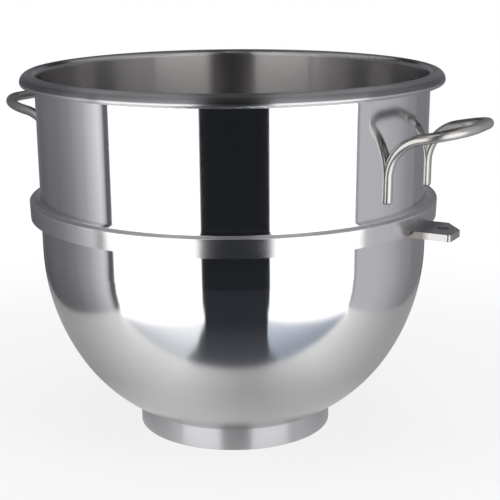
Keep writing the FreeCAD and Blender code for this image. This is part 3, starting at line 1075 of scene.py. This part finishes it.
def studio_side(name, side, studio, white, roof):
    """The pieces of the studio on one side: its panels, its cloth and its share of the floor."""
    way, lean = side["way"], side["panel_lean"]
    inner_low, outer_low = side["panel_low"]
    near, far = ROOF_PANEL_SIDES
    front, back = ROOF_PANEL_DEPTHS
    panel_corners = [
        (way * (side["panel_inner"] + lean), PANEL_INNER_DEPTH, inner_low),
        (way * PANEL_OUTER_SIDE, PANEL_OUTER_DEPTH, outer_low),
        (way * PANEL_OUTER_SIDE, PANEL_OUTER_DEPTH, studio.panel_top),
        (way * (side["panel_inner"] - lean), PANEL_INNER_DEPTH, studio.panel_top),
    ]
    cloth = graded(
        f"studio_cloth_{name}",
        side["cloth_stops"],
        studio.cloth_strength,
        at_foot=side["cloth_at_foot"],
    )
    room_floor = graded(f"studio_room_floor_{name}", side["floor_stops"], studio.cloth_strength)
    return [
        link_mesh(f"studio_panel_{name}", panel_corners, [(0, 1, 2, 3)], white),
        upright(
            f"studio_cloth_{name}",
            (way * TABLE_HALF_WIDTH, -CLOTH_EDGE),
            (way * TABLE_HALF_WIDTH, CLOTH_BACK_DEPTH),
            0.0,
            studio.cloth_top,
            cloth,
        ),
        level(
            f"studio_room_floor_{name}",
            side["floor_plan"],
            PALE_FLOOR_LIFT - TABLE_HEIGHT,
            room_floor,
        ),
        level(
            f"studio_roof_panel_{name}",
            ((way * near, front), (way * near, back), (way * far, back), (way * far, front)),
            ROOF_PANEL_HEIGHT,
            roof,
        ),
    ]


def only_in_polish(thing):
    """Turns a piece of the studio with the camera, and lets only reflections see it."""
    thing.rotation_euler.z = CAMERA_PLAN_TURN
    thing.visible_camera = False
    thing.visible_diffuse = False
    thing.visible_transmission = False
    thing.visible_volume_scatter = False
    thing.visible_shadow = False


def add_lamps(scene, studio):
    """Adds soft square lamps that light the bowl, and aren't seen in its polish."""
    for name, place, size, power in (
        ("lamp_left", (-1.6, -1.9, 1.9), 1.6, studio.side_lamp_power),
        ("lamp_right", (2.4, -0.4, 1.9), 1.6, studio.side_lamp_power),
        ("lamp_top", (0.0, 0.2, 2.7), 2.2, studio.top_lamp_power),
    ):
        lamp = bpy.data.lights.new(name, "AREA")
        lamp.shape = "SQUARE"
        lamp.size = size
        lamp.energy = power
        lamp_object = bpy.data.objects.new(name, lamp)
        scene.collection.objects.link(lamp_object)
        lamp_object.location = place
        aim = LAMPS_AIM - Vector(place)
        lamp_object.rotation_euler = aim.to_track_quat("-Z", "Y").to_euler()
        lamp_object.visible_glossy = False


def add_air(scene):
    """Adds the pale air: white where it is seen, and dimmer as a lamp."""
    world = bpy.data.worlds.new("pale_studio")
    world.use_nodes = True
    tree = world.node_tree
    tree.nodes.clear()
    strength = add_node(
        tree,
        "ShaderNodeMapRange",
        inputs={0: pale_background_rays(tree), 1: 0.0, 2: 1.0, 3: AIR_LIGHT, 4: 1.0},
    )
    air = add_node(
        tree, "ShaderNodeBackground", inputs={0: (1, 1, 1, 1), 1: strength.outputs[0]}
    )
    add_node(tree, "ShaderNodeOutputWorld", inputs={0: air.outputs[0]})
    scene.world = world


def add_camera(scene):
    """Adds the camera at the photograph's viewing angle."""
    lens = bpy.data.cameras.new("camera")
    lens.sensor_width = CAMERA_SENSOR
    lens.lens = CAMERA_LENS
    lens.shift_x, lens.shift_y = CAMERA_SHIFT
    lens.clip_start = 0.05
    lens.clip_end = 50.0
    camera_object = bpy.data.objects.new("camera", lens)
    scene.collection.objects.link(camera_object)
    look = CAMERA_LOOK.normalized()
    side = look.cross(Vector((0, 0, 1))).normalized()
    turn = Matrix((side, side.cross(look), -look)).transposed().to_4x4()
    roll = Matrix.Rotation(CAMERA_ROLL, 4, "Z")
    camera_object.matrix_world = Matrix.Translation(CAMERA_PLACE) @ turn @ roll
    scene.camera = camera_object


class MIXERBOWL_OT_studio(bpy.types.Operator):
    """Sets the floor, the surround, the lamps and the camera"""

    bl_idname = "mixer_bowl.studio"
    bl_label = "Studio"

    def execute(self, context):
        scene = context.scene
        studio = scene.studio_sizes
        floor = disc("studio_floor", studio.floor_radius, 0.0, floor_finish(studio))
        floor.rotation_euler.z = CAMERA_PLAN_TURN

        under, dim = -TABLE_HEIGHT, studio.cloth_strength
        white = graded("studio_white_panel", PANEL_STOPS, studio.panel_strength, "Z")
        roof = glowing("studio_roof_panel", "FFFFFF", studio.roof_strength)
        room_wall = glowing("studio_room_wall", ROOM_WALL_GREY, dim)
        room_floor = graded("studio_room_floor", MIDDLE_FLOOR_STOPS, dim)
        ceiling = graded("studio_ceiling", CEILING_STOPS, dim, "X")
        in_polish = [
            *studio_side("left", LEFT_SIDE, studio, white, roof),
            *studio_side("right", RIGHT_SIDE, studio, white, roof),
            upright(
                "studio_back_cloth",
                (-TABLE_HALF_WIDTH, CLOTH_BACK_DEPTH),
                (TABLE_HALF_WIDTH, CLOTH_BACK_DEPTH),
                0.0,
                studio.cloth_top,
                glowing("studio_back_cloth", BACK_CLOTH_GREY, dim),
            ),
            tube("studio_room", ROOM_RADIUS, under, CEILING_HEIGHT, room_wall),
            disc("studio_room_floor", ROOM_RADIUS, under, room_floor),
            disc("studio_ceiling", ROOM_RADIUS, CEILING_HEIGHT, ceiling),
        ]
        top_light = disc(
            "studio_top_light",
            TOP_LIGHT_RADIUS,
            TOP_LIGHT_HEIGHT,
            glowing("studio_top_light", "FFFFFF", TOP_LIGHT_STRENGTH),
        )
        top_light.location = Matrix.Rotation(CAMERA_PLAN_TURN, 3, "Z") @ Vector(TOP_LIGHT_PLACE)
        for thing in (*in_polish, top_light):
            only_in_polish(thing)

        add_lamps(scene, studio)
        add_air(scene)
        scene.view_settings.view_transform = "Standard"
        add_camera(scene)
        return {"FINISHED"}


class MIXERBOWL_PT_panel(bpy.types.Panel):
    """Lists the pieces of the mixer bowl"""

    bl_label = "Mixer bowl"
    bl_space_type = "VIEW_3D"
    bl_region_type = "UI"
    bl_category = "Mixer bowl"

    def draw(self, context):
        for group in (context.scene.bowl_sizes, context.scene.studio_sizes):
            box = self.layout.box()
            for name in group.bl_rna.properties.keys():
                if name not in ("rna_type", "name"):
                    box.prop(group, name)
        for operator in STEPS:
            self.layout.operator(operator.bl_idname)


STEPS = (
    MIXERBOWL_OT_shell,
    MIXERBOWL_OT_band,
    MIXERBOWL_OT_foot,
    MIXERBOWL_OT_handles,
    MIXERBOWL_OT_lugs,
    MIXERBOWL_OT_studio,
)
CLASSES = (BowlSizes, StudioSizes, *STEPS, MIXERBOWL_PT_panel)


def register():
    for item in CLASSES:
        bpy.utils.register_class(item)
    bpy.types.Scene.bowl_sizes = PointerProperty(type=BowlSizes)
    bpy.types.Scene.studio_sizes = PointerProperty(type=StudioSizes)


def unregister():
    del bpy.types.Scene.studio_sizes
    del bpy.types.Scene.bowl_sizes
    for item in reversed(CLASSES):
        bpy.utils.unregister_class(item)


def main():
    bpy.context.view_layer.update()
    register()
    for done in (
        bpy.ops.mixer_bowl.shell(),
        bpy.ops.mixer_bowl.band(),
        bpy.ops.mixer_bowl.foot(),
        bpy.ops.mixer_bowl.handles(),
        bpy.ops.mixer_bowl.lugs(),
        bpy.ops.mixer_bowl.studio(),
    ):
        if done != {"FINISHED"}:
            raise RuntimeError("a step of the scene was not finished")
    bpy.context.view_layer.update()


if __name__ == "__main__":
    main()
